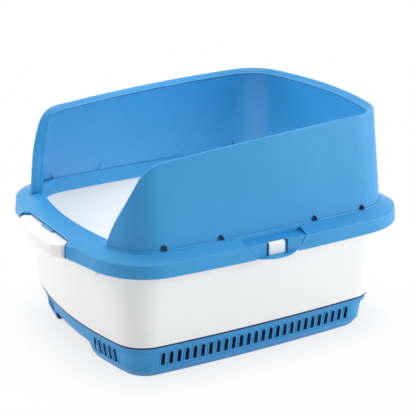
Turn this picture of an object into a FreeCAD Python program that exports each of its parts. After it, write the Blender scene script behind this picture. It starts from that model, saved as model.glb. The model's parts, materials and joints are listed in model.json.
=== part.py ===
import FreeCAD, Part
import math
import os
from FreeCAD import Vector

# A high-sided cat litter box of four mouldings: stand, tray, rim frame and hood.
# X runs along the box with the entrance at -X, Y across it, Z up from the floor.
# Every length is in millimetres.

# Overall plan of the rim frame, the widest outline of the box
rim_half_length = 290.0      # from the centre to the middle of either end
rim_half_width = 229.6
rim_front = rim_half_length
rim_back = rim_half_length
side_bow = 2800.0            # radius of the long, slightly bowed sides
front_bow_share = 1.7422     # radius of the bowed front edge, per unit of half width
back_bow_share = 2.4826
front_bow = front_bow_share * rim_half_width
back_bow = back_bow_share * rim_half_width
front_corner = 90.0
back_corner = 102.0

# Heights above the floor
stand_height = 55.6
rim_crown_height = 209.8     # top of the rim frame beside its opening
crown_rise = 9.0             # of the frame's top, from its edge to the crown
skirt_depth = 21.8
foot_lift = 0.6              # of the hood's foot above the crown
hood_rise = 150.1            # from the hood's foot to the highest point of its top edge
rim_edge_height = rim_crown_height - crown_rise
skirt_bottom = rim_edge_height - skirt_depth
hood_foot_height = rim_crown_height + foot_lift
hood_crown_height = hood_foot_height + hood_rise
hood_crown_overhang = 10.0   # how far behind the rim the top edge would be level
hood_crown_place = rim_half_length + hood_crown_overhang
hood_top_bow = 5000.0        # radius of the top edge, seen from the side

# Plastic and fits
wall = 2.4
thin_wall = 2.0
seat_gap = 0.3               # between pieces that rest on each other
slide_gap = 0.5              # between pieces that pass each other
overrun = 20.0               # how far a cutting shape stands past what it cuts
edge_round = 1.6

# Foot of the tray, which is also the plan of the stand's top
foot_end_inset = 44.4        # from the rim's end to the foot's end
foot_side_inset = 35.8
foot_half_length = rim_half_length - foot_end_inset
foot_half_width = rim_half_width - foot_side_inset
foot_bow_share = 3.2611      # radius of the foot's bowed ends, per unit of half width
foot_end_bow = foot_bow_share * foot_half_width
foot_corner = 53.0
nest_inset = 8.0             # ledge by which the tray's bottom steps in
nest_depth = 9.0             # how deep the bottom sits inside the stand
nest_draft = 1.6

# Top of the tray
tray_flare = 19.6            # how much wider the tray's top is than its foot, on every side
flange_step = 2.3            # of the tray's flange below the frame's edge
flange_height = rim_edge_height - flange_step
flange_inset = 3.6           # from the rim's edge to the flange's edge
flange_drop = 9.0

# Handles at both ends of the tray
handle_stand_out = 5.0       # how far the handle stands out of the rim
handle_reach = rim_half_length + handle_stand_out
handle_step = 1.4            # of the handle's top below the frame's edge
handle_height = rim_edge_height - handle_step
handle_half_length = 64.0    # along the straightest stretch of the outer edge
handle_root_half_length = 77.0
handle_neck_half_length = 70.0
handle_shoulder_inset = 9.0      # from the rim's end to where the handle is widest
handle_inner_inset = 27.5
handle_hollow_inset = 22.0
handle_shoulder = rim_half_length - handle_shoulder_inset
handle_inner = rim_half_length - handle_inner_inset
handle_hollow_start = rim_half_length - handle_hollow_inset

# Gussets under the tray's flange
gusset_side_place = 135.0
gusset_root_inset = 50.0
gusset_reach_inset = 29.2
gusset_tip_inset = 35.5
gusset_root = rim_half_length - gusset_root_inset
gusset_reach = rim_half_length - gusset_reach_inset
gusset_tip = rim_half_length - gusset_tip_inset
gusset_root_drop = 9.5       # below the skirt
gusset_drop = 13.5
gusset_root_bottom = skirt_bottom - gusset_root_drop
gusset_bottom = skirt_bottom - gusset_drop
gusset_thickness = 2.2

# Rim frame
skirt_flare = 1.8
opening_front_inset = 58.0
opening_back_inset = 31.4
opening_side_inset = 28.1
opening_front = rim_half_length - opening_front_inset
opening_back = rim_half_length - opening_back_inset
opening_half_width = rim_half_width - opening_side_inset
opening_front_bow_share = 2.9777
opening_back_bow_share = 2.2333
opening_front_bow = opening_front_bow_share * opening_half_width
opening_back_bow = opening_back_bow_share * opening_half_width
opening_front_corner = 62.0
opening_back_corner = 86.0
collar_depth = 26.3
collar_bottom = rim_crown_height - collar_depth
collar_taper = 1.2
crest_front_inset = 50.0     # from the rim's front to where the slope meets the flat top
crest_front = rim_half_length - crest_front_inset
crest_inset = 23.0
crest_step = 0.4             # of the slope's top edge below the crown
crest_height = rim_crown_height - crest_step
crest_front_bow = 3000.0
crest_front_corner = 72.0
notch_depth = 23.0           # of the handle notch, from the rim's end
notch_inner = rim_half_length - notch_depth
notch_gap = 0.9
lug_half_width = 20.0        # small lug of the frame over the handle plate
lug_reach = 4.0
lug_height = 2.4
ridge_height = 1.1           # ridge round the hood's foot
ridge_width = 1.7
foot_inset = 24.8            # from the rim's edge to the hood's outer face

# Hood
hood_draft = 0.0958          # inward lean of the walls, per unit of height
front_edge_bow = 390.0       # radius of the front edge, seen from the side
front_edge_setback = 44.1    # of the foremost point of that radius, from the rim's front
front_edge_x = front_edge_bow + front_edge_setback - rim_half_length
front_edge_drop = 73.1       # of the centre of that radius below the hood's foot
front_edge_z = hood_foot_height - front_edge_drop
shoulder_round = 45.0        # radius between the front edge and the top edge
lip_top = ((0.0, 2.2), (0.7, 0.6), (2.4, 0.0), (5.5, 1.7), (8.5, 4.2), (8.9, 5.0), (12.0, 6.2))
lip_underside = ((12.2, 8.6), (8.7, 7.4), (5.5, 4.9), (2.4, 3.7))   # inward and down from the edge
lip_widening = 0.83          # how much wider the lip is at the front foot
lip_widening_height = 140.0  # height above the foot over which it narrows
foot_depth = 20.0            # spare depth below the foot, cut off flat

# Windows at the hood's foot, with a tab of the frame behind each
window_places_shares = (-0.762, -0.36, 0.36, 0.762)
window_span_inset = 60.0
window_span = rim_half_length - window_span_inset
window_width = 7.0
window_height = 7.2
tab_width = 3.0
tab_height = 5.0
tab_thickness = 1.4
window_frame = 1.5
window_frame_relief = 0.7

# Latch in the middle of each long side
pocket_half_length = 53.0
pocket_floor_step = 0.4      # of the pocket's floor below the frame's edge, at its front
pocket_floor_rise = 1.8
pocket_floor_front = rim_edge_height - pocket_floor_step
pocket_floor_back = pocket_floor_front + pocket_floor_rise
pocket_depth = 20.6          # of the pocket's back wall, from the rim's side
pocket_back = rim_half_width - pocket_depth
flap_top_half_length = 50.5
flap_bottom_half_length = 36.3
flap_face_inset = 0.9        # from the rim's side to the flap's outer face
flap_face = rim_half_width - flap_face_inset
flap_thickness = 2.2
flap_travel_gap = 0.5
catch_half_length = 16.4
catch_lift = 2.2             # of the catch's foot above the skirt's edge
catch_bottom = skirt_bottom + catch_lift
catch_face_inset = 1.1
catch_face = rim_half_width - catch_face_inset
catch_slope = 3.6            # bevel of the catch's upper front edge
catch_top_length = 1.3
catch_way_depth = 6.6
catch_way_back = rim_half_width - catch_way_depth
window_margin = 1.9          # gap beside the catch
pocket_floor_thickness = 1.5
finger_lip_stand_out = 12.4
finger_lip_reach = rim_half_width + finger_lip_stand_out
finger_lip_half_length = 36.5

# Stand
band_step = 2.6              # height of each moulding step under the stand's top
top_band = 5.2
lower_band = 5.6
band_inset = 1.2
lower_band_inset = 4.4
stand_wall_inset = 9.6
stand_wall_lean = 5.2
foot_band_height = 9.6
foot_band_step = 0.8
stand_foot_inset = 20.0
stand_foot_extra_corner = 7.0
floor_ring_width = 9.0
slot_count = 26
slot_row_inset = 78.1        # from the foot's end to the middle of the first slot
slot_row = 2 * foot_half_length - 2 * slot_row_inset
slot_pitch = slot_row / (slot_count - 1)
slot_width = 7.6
slot_bottom = 17.2
slot_top = 40.4
slot_head_flats = 4          # straight steps that make a slot's round head
end_slot_count = 5
end_slot_pitch = 12.8
end_slot_inset = 121.0       # from the foot's side to the middle of the first end slot
end_slot_start = foot_half_width - end_slot_inset
end_slot_bottom = 14.0
end_slot_top = 38.8
arch_top_half_length = 51.0
arch_foot_half_length = 64.0
arch_stretch = 30.0          # how much further each arch runs towards the left side
left_slots_left_out = 2      # end slots that the longer side of the arch takes the place of
arch_height = 22.6
arch_round = 9.0             # radius of an arch's upper corners


# Plan outlines


class Outline:
    """A plan outline of four bowed sides and four round corners."""

    def __init__(self, front, back, half_width, side, front_end, back_end, front_round, back_round):
        self.front = front
        self.back = back
        self.half_width = half_width
        self.side = side
        self.front_end = front_end
        self.back_end = back_end
        self.front_round = front_round
        self.back_round = back_round

    def grown(self, by, more_corner=0.0):
        """The same outline moved outwards by a distance."""
        return Outline(self.front + by, self.back + by, self.half_width + by, self.side + by,
                       self.front_end + by, self.back_end + by,
                       self.front_round + by + more_corner, self.back_round + by + more_corner)

    def corner(self, end, side):
        """Centre, radius and the two tangent points of a corner (end and side are 1 or -1)."""
        reach = self.back if end > 0 else self.front
        end_radius = self.back_end if end > 0 else self.front_end
        radius = self.back_round if end > 0 else self.front_round
        side_centre = Vector(0, -side * (self.side - self.half_width), 0)
        end_centre = Vector(end * (reach - end_radius), 0, 0)
        side_distance = self.side - radius
        end_distance = end_radius - radius
        between = end_centre - side_centre
        along = (side_distance ** 2 - end_distance ** 2 + between.Length ** 2) / (2 * between.Length)
        across = math.sqrt(side_distance ** 2 - along ** 2)
        direction = Vector(between).normalize()
        normal = Vector(-direction.y, direction.x, 0)
        ways = [side_centre + direction * along + normal * across * way for way in (1, -1)]
        centre = max(ways, key=lambda point: end * point.x + side * point.y)
        on_side = centre + (centre - side_centre).normalize() * radius
        on_end = centre + (centre - end_centre).normalize() * radius
        return centre, radius, on_side, on_end

    def wire(self, height):
        """The closed outline at a height, as eight arcs."""
        lift = Vector(0, 0, height)
        edges = []
        for start, stop in (((-1, -1), (1, -1)), ((1, -1), (1, 1)), ((1, 1), (-1, 1)), ((-1, 1), (-1, -1))):
            first = self.corner(*start)
            last = self.corner(*stop)
            if start[1] == stop[1]:
                ends = (first[2], last[2])
                middle = Vector(0, start[1] * self.half_width, 0)
                turn = (last[2], last[3])
            else:
                ends = (first[3], last[3])
                middle = Vector(self.back if start[0] > 0 else -self.front, 0, 0)
                turn = (last[3], last[2])
            edges.append(Part.Arc(ends[0] + lift, middle + lift, ends[1] + lift).toShape())
            halfway = last[0] + ((turn[0] + turn[1]) / 2 - last[0]).normalize() * last[1]
            edges.append(Part.Arc(turn[0] + lift, halfway + lift, turn[1] + lift).toShape())
        return Part.Wire(edges)

    def prism(self, bottom, top):
        """A straight block of this outline."""
        face = Part.Face(self.wire(bottom))
        return face.extrude(Vector(0, 0, top - bottom))


def between(first, second):
    """The faces between two outlines: a flat frame where the heights agree, else ruled faces."""
    wires = [outline.wire(height) for outline, height in (first, second)]
    if first[1] != second[1]:
        return Part.makeLoft(wires, False, True).Faces
    wires.sort(key=lambda wire: wire.BoundBox.XLength)
    return Part.makeFace(wires[::-1], "Part::FaceMakerBullseye").Faces


def solid(faces):
    """A solid from the faces that close it."""
    shell = Part.makeShell(faces)
    shell.sewShape()
    body = Part.Solid(shell)
    if body.Volume < 0:
        body.reverse()
    return body


def stack(levels):
    """A solid through outlines at rising heights."""
    faces = [Part.Face(outline.wire(height)) for outline, height in (levels[0], levels[-1])]
    for first, second in zip(levels, levels[1:]):
        faces += between(first, second)
    return solid(faces)


def ring(levels):
    """A closed frame whose section runs round the given outlines and heights."""
    faces = []
    for first, second in zip(levels, levels[1:] + levels[:1]):
        faces += between(first, second)
    return solid(faces)


def block(low, high):
    """A box between two corners."""
    return Part.makeBox(high[0] - low[0], high[1] - low[1], high[2] - low[2], Vector(*low))


def plate(points, way):
    """A prism of a polygon, pushed along a vector."""
    corners = [Vector(*point) for point in points]
    return Part.Face(Part.makePolygon(corners + corners[:1])).extrude(Vector(*way))


def mirrored(shape, normal):
    """A mirror copy through the centre."""
    return shape.mirror(Vector(0, 0, 0), Vector(*normal))


rim = Outline(rim_front, rim_back, rim_half_width, side_bow, front_bow, back_bow, front_corner, back_corner)
opening = Outline(opening_front, opening_back, opening_half_width, side_bow,
                  opening_front_bow, opening_back_bow, opening_front_corner, opening_back_corner)
crest = Outline(crest_front, rim_back - crest_inset, rim_half_width - crest_inset, side_bow - crest_inset,
                crest_front_bow, back_bow - crest_inset, crest_front_corner, back_corner - crest_inset)
tray_foot = Outline(foot_half_length, foot_half_length, foot_half_width, side_bow,
                    foot_end_bow, foot_end_bow, foot_corner, foot_corner)
tray_top = tray_foot.grown(tray_flare)


# Stand


def arched_slot(width, bottom, top, depth):
    """An upright slot with a round head, standing in the XZ plane and pushed along Y."""
    radius = width / 2
    spring = top - radius
    points = [(-radius, -depth / 2, bottom), (radius, -depth / 2, bottom)]
    for number in range(slot_head_flats + 1):
        turn = math.pi * number / slot_head_flats
        points.append((radius * math.cos(turn), -depth / 2, spring + radius * math.sin(turn)))
    return plate(points, (0, depth, 0))


def stand_cuts():
    """The side slots, the end slots and the two arches."""
    cuts = []
    side_depth = 2 * foot_half_width + 2 * overrun
    half = (slot_count - 1) / 2
    for number in range(slot_count):
        slot = arched_slot(slot_width, slot_bottom, slot_top, side_depth)
        slot.translate(Vector((number - half) * slot_pitch, 0, 0))
        cuts.append(slot)
    end_depth = 2 * foot_half_length + 2 * overrun
    for side, first in ((1, left_slots_left_out), (-1, 0)):
        for number in range(first, end_slot_count):
            slot = arched_slot(slot_width, end_slot_bottom, end_slot_top, end_depth)
            slot.rotate(Vector(0, 0, 0), Vector(0, 0, 1), 90)
            slot.translate(Vector(0, side * (end_slot_start + number * end_slot_pitch), 0))
            cuts.append(slot)
    start = -foot_half_length - overrun
    left_foot = arch_foot_half_length + arch_stretch
    left_top = arch_top_half_length + arch_stretch
    profile = [(start, left_foot, -overrun), (start, -arch_foot_half_length, -overrun),
               (start, -arch_foot_half_length, 0), (start, -arch_top_half_length, arch_height),
               (start, left_top, arch_height), (start, left_foot, 0)]
    arch = plate(profile, (end_depth, 0, 0))
    corners = [edge for edge in arch.Edges
               if edge.Length > end_depth - overrun and edge.BoundBox.ZMin > arch_height - edge_round]
    cuts.append(arch.makeFillet(arch_round, corners))
    return cuts


def make_base():
    """The vented stand: a stepped top flange, a slotted wall and a floor ring."""
    top_band_bottom = stand_height - top_band
    lower_band_top = top_band_bottom - band_step / 2
    lower_band_bottom = lower_band_top - lower_band
    wall_top = lower_band_bottom - band_step
    nest = nest_inset - slide_gap
    foot = tray_foot.grown(-stand_foot_inset, stand_foot_extra_corner)
    wall_foot = tray_foot.grown(-stand_wall_inset - stand_wall_lean)
    outer = [(foot, 0),
             (wall_foot.grown(foot_band_step), foot_band_height),
             (wall_foot, foot_band_height + foot_band_step),
             (tray_foot.grown(-stand_wall_inset), wall_top),
             (tray_foot.grown(-lower_band_inset), lower_band_bottom),
             (tray_foot.grown(-lower_band_inset), lower_band_top),
             (tray_foot.grown(-band_inset - edge_round / 2), top_band_bottom),
             (tray_foot.grown(-band_inset), stand_height - edge_round),
             (tray_foot.grown(-band_inset - edge_round / 2), stand_height)]
    inner = [(tray_foot.grown(-nest), stand_height),
             (tray_foot.grown(-nest - slide_gap), lower_band_bottom),
             (tray_foot.grown(-stand_wall_inset - wall), wall_top),
             (wall_foot.grown(-wall), foot_band_height),
             (foot.grown(-wall), 2 * wall),
             (foot.grown(-floor_ring_width), wall),
             (foot.grown(-floor_ring_width), 0)]
    shell = ring(outer + inner)
    return shell.cut(stand_cuts())


# Tray


def handle_outline(grow, height):
    """Plan of the front handle, grown by a clearance, at a height."""
    outer = handle_reach + grow
    bow = rim.grown(handle_reach - rim_front + grow)
    half = handle_half_length + grow
    sag = bow.front_end - math.sqrt(bow.front_end ** 2 - half ** 2)
    tip = -(outer - sag)
    shoulder = -(handle_shoulder + grow / 2)
    root = handle_root_half_length + grow
    neck = handle_neck_half_length + grow
    inner = -handle_inner + grow
    points = [Vector(inner, -neck, height), Vector(shoulder, -root, height), Vector(tip, -half, height)]
    far = [Vector(point.x, -point.y, height) for point in reversed(points)]
    edges = [Part.makeLine(points[0], points[1]), Part.makeLine(points[1], points[2]),
             Part.Arc(points[2], Vector(-outer, 0, height), far[0]).toShape(),
             Part.makeLine(far[0], far[1]), Part.makeLine(far[1], far[2]), Part.makeLine(far[2], points[0])]
    return Part.Wire(edges)


def handle_prism(grow, bottom, top):
    """A block of the handle's plan."""
    return Part.Face(handle_outline(grow, bottom)).extrude(Vector(0, 0, top - bottom))


def both_ends(make):
    """A front piece and its mirror copy at the back."""
    front = make()
    return [front, mirrored(front, (1, 0, 0))]


def handle_hollow():
    """The finger space under the front handle."""
    space = handle_prism(-wall, skirt_bottom - overrun, handle_height - wall)
    behind = block((-handle_hollow_start, -rim_half_width, 0), (0, rim_half_width, hood_crown_height))
    return space.cut(behind)


def make_catch():
    """The latch catch on the near side: a block with a bevelled top edge."""
    top = pocket_floor_front
    ridge = -catch_face + catch_slope
    root = -tray_top.half_width + wall
    profile = [(-catch_half_length, -catch_face, catch_bottom),
               (-catch_half_length, -catch_face, top - catch_slope),
               (-catch_half_length, ridge, top), (-catch_half_length, ridge + catch_top_length, top),
               (-catch_half_length, ridge + catch_top_length, flange_height),
               (-catch_half_length, root, flange_height), (-catch_half_length, root, catch_bottom)]
    return plate(profile, (2 * catch_half_length, 0, 0))


def catch_hollow():
    """The space inside the near catch, open downwards."""
    half = catch_half_length - wall
    return block((-half, -catch_face + wall, catch_bottom - overrun),
                 (half, -tray_top.half_width - slide_gap, flange_height - wall))


def make_gusset(side):
    """A triangular web between the tray's front wall and its flange."""
    top = flange_height - wall
    points = [(-gusset_root, 0, gusset_root_bottom), (-gusset_root, 0, top), (-gusset_reach, 0, top),
              (-gusset_reach, 0, flange_height - flange_drop), (-gusset_tip, 0, gusset_bottom)]
    web = plate(points, (0, gusset_thickness, 0))
    web.translate(Vector(0, side * gusset_side_place - gusset_thickness / 2, 0))
    return web


def make_tray():
    """The tray: a drafted tub with a nest step, a flange, handles, catches and gussets."""
    nest_bottom = stand_height + seat_gap - nest_depth
    ledge = stand_height + seat_gap
    nest = tray_foot.grown(-nest_inset)
    outer = stack([(nest.grown(-nest_draft), nest_bottom), (nest, ledge), (tray_foot, ledge),
                   (tray_top, flange_height)])
    floor = nest_bottom + wall
    inner = stack([(nest.grown(-nest_draft - wall), floor), (nest.grown(-wall / 2), ledge + wall),
                   (tray_foot.grown(-wall), ledge + 2 * wall),
                   (tray_top.grown(-wall), flange_height), (tray_top.grown(-wall), flange_height + overrun)])
    edge = rim.grown(-flange_inset)
    flange = ring([(tray_top.grown(-wall), flange_height - wall),
                   (edge.grown(-thin_wall), flange_height - wall),
                   (edge.grown(-thin_wall), flange_height - flange_drop),
                   (edge, flange_height - flange_drop),
                   (edge, flange_height - edge_round), (edge.grown(-edge_round), flange_height),
                   (tray_top.grown(-wall), flange_height)])
    near_catch = make_catch()
    extras = both_ends(lambda: handle_prism(0, skirt_bottom, handle_height))
    extras += [near_catch, mirrored(near_catch, (0, 1, 0))]
    for side in (1, -1):
        extras += both_ends(lambda: make_gusset(side))
    body = outer.fuse([flange] + extras)
    near_hollow = catch_hollow()
    hollows = both_ends(handle_hollow) + [near_hollow, mirrored(near_hollow, (0, 1, 0))]
    return body.cut([inner] + hollows).removeSplitter()


# Rim frame


def rim_top(inset_top):
    """The frame's filled upper body: skirt, edge and sloping top, for pockets and notches."""
    return stack([(rim.grown(skirt_flare), skirt_bottom), (rim, rim_edge_height - edge_round),
                  (rim.grown(-edge_round), rim_edge_height), (crest, crest_height),
                  (opening.grown(inset_top), rim_crown_height)])


def latch_opening():
    """Near side: the wedge of the pocket above its floor, and the tapered gap of the flap."""
    outside = rim_half_width + overrun
    pocket = plate([(-pocket_half_length, -outside, pocket_floor_front),
                    (-pocket_half_length, -flap_face, pocket_floor_front),
                    (-pocket_half_length, -pocket_back, pocket_floor_back),
                    (-pocket_half_length, -pocket_back, rim_crown_height + overrun),
                    (-pocket_half_length, -outside, rim_crown_height + overrun)],
                   (2 * pocket_half_length, 0, 0))
    gap = flap_travel_gap
    lean = (flap_top_half_length - flap_bottom_half_length) / (pocket_floor_front - skirt_bottom)
    top_half = flap_top_half_length + gap + lean * overrun
    bottom_half = flap_bottom_half_length + gap - lean * overrun
    back = -(flap_face - flap_thickness - seat_gap)
    flap_gap = plate([(-top_half, back, pocket_floor_front + overrun),
                      (top_half, back, pocket_floor_front + overrun),
                      (bottom_half, back, skirt_bottom - overrun),
                      (-bottom_half, back, skirt_bottom - overrun)],
                     (0, back - outside, 0))
    return pocket, flap_gap


def make_latch_pocket():
    """Near side: the pocket's floor and walls, one wall thick, inside the frame's body."""
    half = pocket_half_length + thin_wall
    back = -pocket_back + thin_wall
    front = -(flap_face - flap_thickness - seat_gap)
    return plate([(-half, front, pocket_floor_front - pocket_floor_thickness),
                  (-half, back, pocket_floor_back - pocket_floor_thickness),
                  (-half, back, rim_crown_height + overrun), (-half, front, rim_crown_height + overrun)],
                 (2 * half, 0, 0))


def make_catch_way():
    """Near side: the hole in the pocket's floor through which the catch shows."""
    half = catch_half_length + window_margin
    return block((-half, -rim_half_width - overrun, skirt_bottom - overrun),
                 (half, -catch_way_back, pocket_floor_back + slide_gap))


def make_rim_frame():
    """The frame: skirt, sloping top, hood seat, collar, handle notches and latch pockets."""
    skin = ring([(rim.grown(skirt_flare), skirt_bottom), (rim, rim_edge_height - edge_round),
                 (rim.grown(-edge_round), rim_edge_height), (crest, crest_height),
                 (opening.grown(edge_round), rim_crown_height), (opening, rim_crown_height - edge_round),
                 (opening.grown(-collar_taper), collar_bottom),
                 (opening.grown(thin_wall - collar_taper), collar_bottom),
                 (opening.grown(thin_wall), crest_height - thin_wall),
                 (crest.grown(-seat_gap), crest_height - thin_wall),
                 (rim.grown(-edge_round - thin_wall), rim_edge_height - thin_wall),
                 (rim.grown(-thin_wall), rim_edge_height - 2 * edge_round),
                 (rim.grown(skirt_flare - thin_wall), skirt_bottom)])
    filled = rim_top(edge_round)
    notches = both_ends(lambda: handle_prism(notch_gap, skirt_bottom - overrun, rim_crown_height + overrun))
    inner_cut = block((-notch_inner, -rim_half_width, skirt_bottom - overrun),
                      (notch_inner, rim_half_width, rim_crown_height + overrun))
    notches = [notch.cut(inner_cut) for notch in notches]
    notch_walls = both_ends(lambda: handle_prism(notch_gap + thin_wall, handle_height + seat_gap,
                                                 rim_crown_height).cut(
        block((-notch_inner + thin_wall, -rim_half_width, 0),
              (notch_inner - thin_wall, rim_half_width, rim_crown_height + overrun))))
    notch_walls = [notch_wall.common(filled) for notch_wall in notch_walls]
    pocket, flap_gap = latch_opening()
    pocket_walls = make_latch_pocket().common(filled)
    latch_adds = [pocket_walls, mirrored(pocket_walls, (0, 1, 0))]
    latch_cuts = []
    for cut in (pocket, flap_gap, make_catch_way()):
        latch_cuts += [cut, mirrored(cut, (0, 1, 0))]
    lug = block((-notch_inner - lug_reach, -lug_half_width, handle_height + seat_gap),
                (-notch_inner + thin_wall, lug_half_width, handle_height + seat_gap + lug_height))
    lugs = [lug, mirrored(lug, (1, 0, 0))]
    body = skin.fuse(notch_walls + latch_adds)
    body = body.cut(notches + latch_cuts)
    return body.fuse(lugs + [hood_seat()] + window_tabs()).removeSplitter()


def skin_share(thickness):
    """A depth that ends inside a wall of this thickness."""
    return 0.9 * thickness


def hood_seat():
    """The ridge that the hood's foot stands in, left out across the entrance."""
    outer = rim.grown(-foot_inset + ridge_width + slide_gap)
    inner = rim.grown(-foot_inset + slide_gap)
    sunk = crest_height - skin_share(thin_wall)
    ridge = ring([(outer, sunk), (outer, hood_foot_height), (outer.grown(-ridge_width / 4),
                 hood_foot_height + ridge_height), (inner, hood_foot_height + ridge_height), (inner, sunk)])
    seat_inner = rim.grown(-foot_inset - wall)
    seat = ring([(inner, sunk), (inner, hood_foot_height - seat_gap),
                 (seat_inner, hood_foot_height - seat_gap), (seat_inner, sunk)])
    entrance = hood_front_at(hood_foot_height)
    front = block((-rim_front - overrun, -rim_half_width, 0), (entrance, rim_half_width, hood_crown_height))
    breaks = [front]
    half = window_width / 2 + window_frame + slide_gap
    for share in window_places_shares:
        x = share * window_span
        breaks.append(block((x - half, -rim_half_width, hood_foot_height - seat_gap),
                            (x + half, rim_half_width, hood_crown_height)))
    return ridge.fuse(seat).cut(breaks)


def window_tabs():
    """Upright tabs of the frame, one inside each window of the hood."""
    tabs = []
    for share in window_places_shares:
        for side in (1, -1):
            x = share * window_span
            face = side_distance(x) - foot_inset - wall - slide_gap - hood_draft * tab_height
            tab = block((x - tab_width / 2, face - tab_thickness, rim_crown_height - tab_thickness),
                        (x + tab_width / 2, face, hood_foot_height + tab_height))
            root = block((x - tab_width / 2, face - tab_thickness, rim_crown_height - tab_thickness),
                         (x + tab_width / 2, face + 2 * tab_thickness, rim_crown_height - seat_gap))
            tab = tab.fuse(root)
            tabs.append(tab if side > 0 else mirrored(tab, (0, 1, 0)))
    return tabs


def side_distance(x):
    """How far the rim's long side is from the centre line at x."""
    return rim_half_width - (side_bow - math.sqrt(side_bow ** 2 - x ** 2))


# Latch flaps


def make_latch_flap():
    """Near side: two tapered legs beside the catch, a bar under it and a crescent finger lip."""
    inside = -(flap_face - flap_thickness)
    top = pocket_floor_front
    bottom = skirt_bottom
    legs = plate([(-flap_top_half_length, inside, top), (flap_top_half_length, inside, top),
                  (flap_bottom_half_length, inside, bottom), (-flap_bottom_half_length, inside, bottom)],
                 (0, -flap_thickness, 0))
    half = catch_half_length + window_margin
    window = block((-half, -flap_face - overrun, catch_bottom - slide_gap),
                   (half, inside + overrun, top + overrun))
    chord = flap_face - flap_thickness / 2
    start = Vector(-finger_lip_half_length, -chord, bottom)
    stop = Vector(finger_lip_half_length, -chord, bottom)
    crescent = Part.Wire([Part.Arc(start, Vector(0, -finger_lip_reach, bottom), stop).toShape(),
                          Part.makeLine(stop, start)])
    lip_top = catch_bottom - slide_gap
    lip = Part.Face(crescent).extrude(Vector(0, 0, lip_top - bottom))
    return legs.cut(window).fuse(lip).removeSplitter()


# Hood


def top_edge(x):
    """Height of the hood's top edge at x."""
    along = x - hood_crown_place
    return hood_crown_height - hood_top_bow + math.sqrt(hood_top_bow ** 2 - along ** 2)


def hood_front_at(height):
    """Place of the hood's front edge at a height."""
    return front_edge_x - math.sqrt(front_edge_bow ** 2 - (height - front_edge_z) ** 2)


def shoulder_centre():
    """Centre of the round between the front edge and the top edge."""
    front_radius = front_edge_bow - shoulder_round
    top_radius = hood_top_bow - shoulder_round
    front_centre = Vector(front_edge_x, 0, front_edge_z)
    top_centre = Vector(hood_crown_place, 0, hood_crown_height - hood_top_bow)
    between = top_centre - front_centre
    along = (front_radius ** 2 - top_radius ** 2 + between.Length ** 2) / (2 * between.Length)
    across = math.sqrt(front_radius ** 2 - along ** 2)
    direction = Vector(between).normalize()
    normal = Vector(direction.z, 0, -direction.x)
    ways = [front_centre + direction * along + normal * across * way for way in (1, -1)]
    return min(ways, key=lambda point: point.x)


def profile_height(x):
    """Height of the hood's edge at x, seen from the side: front edge, shoulder, then top edge."""
    centre = shoulder_centre()
    front_centre = Vector(front_edge_x, 0, front_edge_z)
    top_centre = Vector(hood_crown_place, 0, hood_crown_height - hood_top_bow)
    front_touch = centre + (centre - front_centre).normalize() * shoulder_round
    top_touch = centre + (centre - top_centre).normalize() * shoulder_round
    if x >= top_touch.x:
        return top_edge(x)
    if x >= front_touch.x:
        return centre.z + math.sqrt(shoulder_round ** 2 - (x - centre.x) ** 2)
    return front_edge_z + math.sqrt(front_edge_bow ** 2 - (x - front_edge_x) ** 2)


def hood_inset(height):
    """How far the hood's outer face stands in from the rim's edge at a height."""
    return foot_inset + hood_draft * (height - hood_foot_height)


def edge_point(centre, radius, angle):
    """The point of the hood's edge on the wall at a plan angle of an arc."""
    way = Vector(math.cos(angle), math.sin(angle), 0)
    low = 0.0
    high = hood_crown_height + overrun
    for step in range(60):
        height = (low + high) / 2
        x = centre.x + way.x * (radius - hood_inset(height))
        if height > profile_height(max(x, front_edge_x - front_edge_bow)):
            high = height
        else:
            low = height
    return centre + way * (radius - hood_inset(low)) + Vector(0, 0, low)


def stations():
    """Arc centre, radius and angle of each station of the near half, from front middle to back middle."""
    front_centre = Vector(front_bow - rim_front, 0, 0)
    back_centre = Vector(rim_back - back_bow, 0, 0)
    side_centre = Vector(0, side_bow - rim_half_width, 0)
    front_turn, front_radius, front_on_side, front_on_end = rim.corner(-1, -1)
    back_turn, back_radius, back_on_side, back_on_end = rim.corner(1, -1)

    def bearing(point, centre):
        return math.atan2(point.y - centre.y, point.x - centre.x)

    arcs = ((front_centre, front_bow, -math.pi, bearing(front_on_end, front_centre), 40),
            (front_turn, front_radius,
             bearing(front_on_end, front_turn), bearing(front_on_side, front_turn), 16),
            (side_centre, side_bow,
             bearing(front_on_side, side_centre), bearing(back_on_side, side_centre), 14),
            (back_turn, back_radius, bearing(back_on_side, back_turn), bearing(back_on_end, back_turn), 12),
            (back_centre, back_bow, bearing(back_on_end, back_centre), 0, 5))
    found = []
    for centre, radius, start, stop, count in arcs:
        for number in range(count):
            angle = start + (stop - start) * number / count
            if edge_point(centre, radius, angle).z >= hood_foot_height - foot_depth:
                found.append((centre, radius, angle))
    found.append((back_centre, back_bow, 0))
    return found


def lip_scale(height):
    """How much wider the lip is at a height than along the top."""
    share = max(0, height - hood_foot_height) / lip_widening_height
    return 1 + lip_widening * max(0, 1 - share ** 2)


def section(centre, radius, angle):
    """The hood's section at a station: its lip and its wall down past the foot, as one loop."""
    edge = edge_point(centre, radius, angle)
    nudge = 0.001 / radius
    ahead = edge_point(centre, radius, angle + nudge)
    behind = edge_point(centre, radius, angle - nudge)
    along = (ahead - behind).normalize()
    way = Vector(math.cos(angle), math.sin(angle), 0)
    outward = (way + Vector(0, 0, hood_draft)).normalize()
    down = along.cross(outward).normalize()
    scale = lip_scale(edge.z)
    points = []
    for inset, drop in lip_top + lip_underside:
        inset = inset if inset <= wall else wall + (inset - wall) * scale
        points.append(edge - outward * inset + down * drop)
    bottom = hood_foot_height - foot_depth
    foot = centre + way * (radius - hood_inset(bottom)) + Vector(0, 0, bottom)
    return [foot] + points + [foot - way * wall]


def rail(points, spacing):
    """A smooth edge through one point of every section."""
    curve = Part.BSplineCurve()
    curve.interpolate(Points=points, Parameters=spacing)
    return curve.toShape()


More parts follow.
